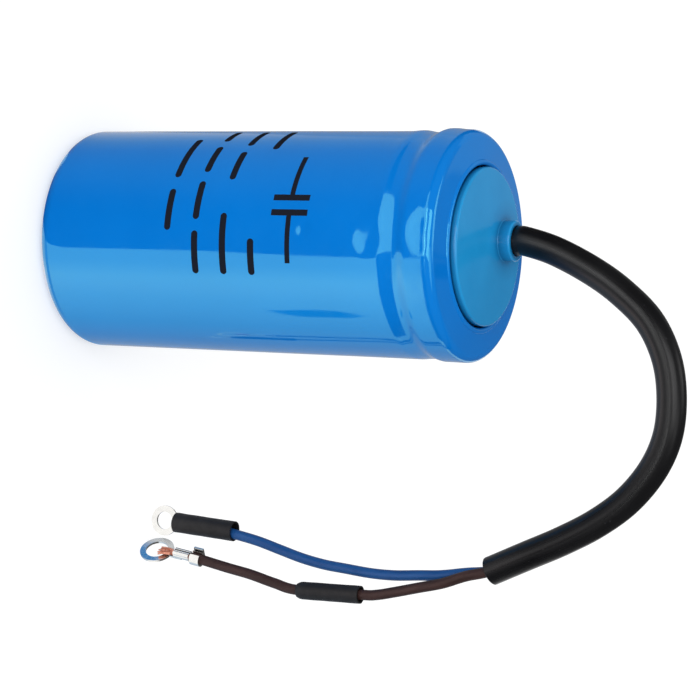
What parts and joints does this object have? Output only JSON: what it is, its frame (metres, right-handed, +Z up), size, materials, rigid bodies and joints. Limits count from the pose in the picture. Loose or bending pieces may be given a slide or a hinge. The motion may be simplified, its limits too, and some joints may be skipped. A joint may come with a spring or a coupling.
{
  "type": "motor start capacitor",
  "caption": "Cylindrical motor start capacitor in a blue shrink sleeve, with a moulded end cap, an off-centre cable boss and a short cable whose cores end in ring terminals.",
  "frame": {"origin": "centre of the foot, on the surface the can stands on", "axes": "+Z up the can's axis towards the end cap; +X towards the side on which the free cores hang"},
  "size_m": [0.1065, 0.0504, 0.1433],
  "materials": {
    "sleeve_blue": "glossy shrink film",
    "can_metal": "drawn",
    "pad_card": "pressed board",
    "winding_paper": "wound",
    "foil": "bright foil",
    "seal_board": "phenolic board",
    "gasket_rubber": "matt",
    "strip_brass": "tinned at the joint",
    "cap_blue": "satin moulding",
    "jacket_black": "smooth jacket",
    "core_blue": "smooth insulation",
    "core_brown": "smooth insulation",
    "terminal_tin": "bright tin plate",
    "strand_copper": "bare copper",
    "lead_sleeve_black": "matt tubing"
  },
  "bodies": {
    "root": {"shrink_sleeve": "sleeve_blue", "can": "can_metal", "foot_pad": "pad_card", "winding": "winding_paper", "top_pad": "pad_card", "blue_tab": "foil", "brown_tab": "foil", "seal_disc": "seal_board", "gasket": "gasket_rubber", "blue_rivet": "foil", "brown_rivet": "foil", "blue_strip": "strip_brass", "brown_strip": "strip_brass", "end_cap": "cap_blue", "cable_jacket": "jacket_black", "blue_core": "core_blue", "brown_core": "core_brown", "blue_terminal": "terminal_tin", "brown_terminal": "terminal_tin", "blue_strands": "strand_copper", "brown_strands": "strand_copper", "blue_lead_sleeve": "lead_sleeve_black", "brown_lead_sleeve": "lead_sleeve_black"}
  },
  "joints": []
}
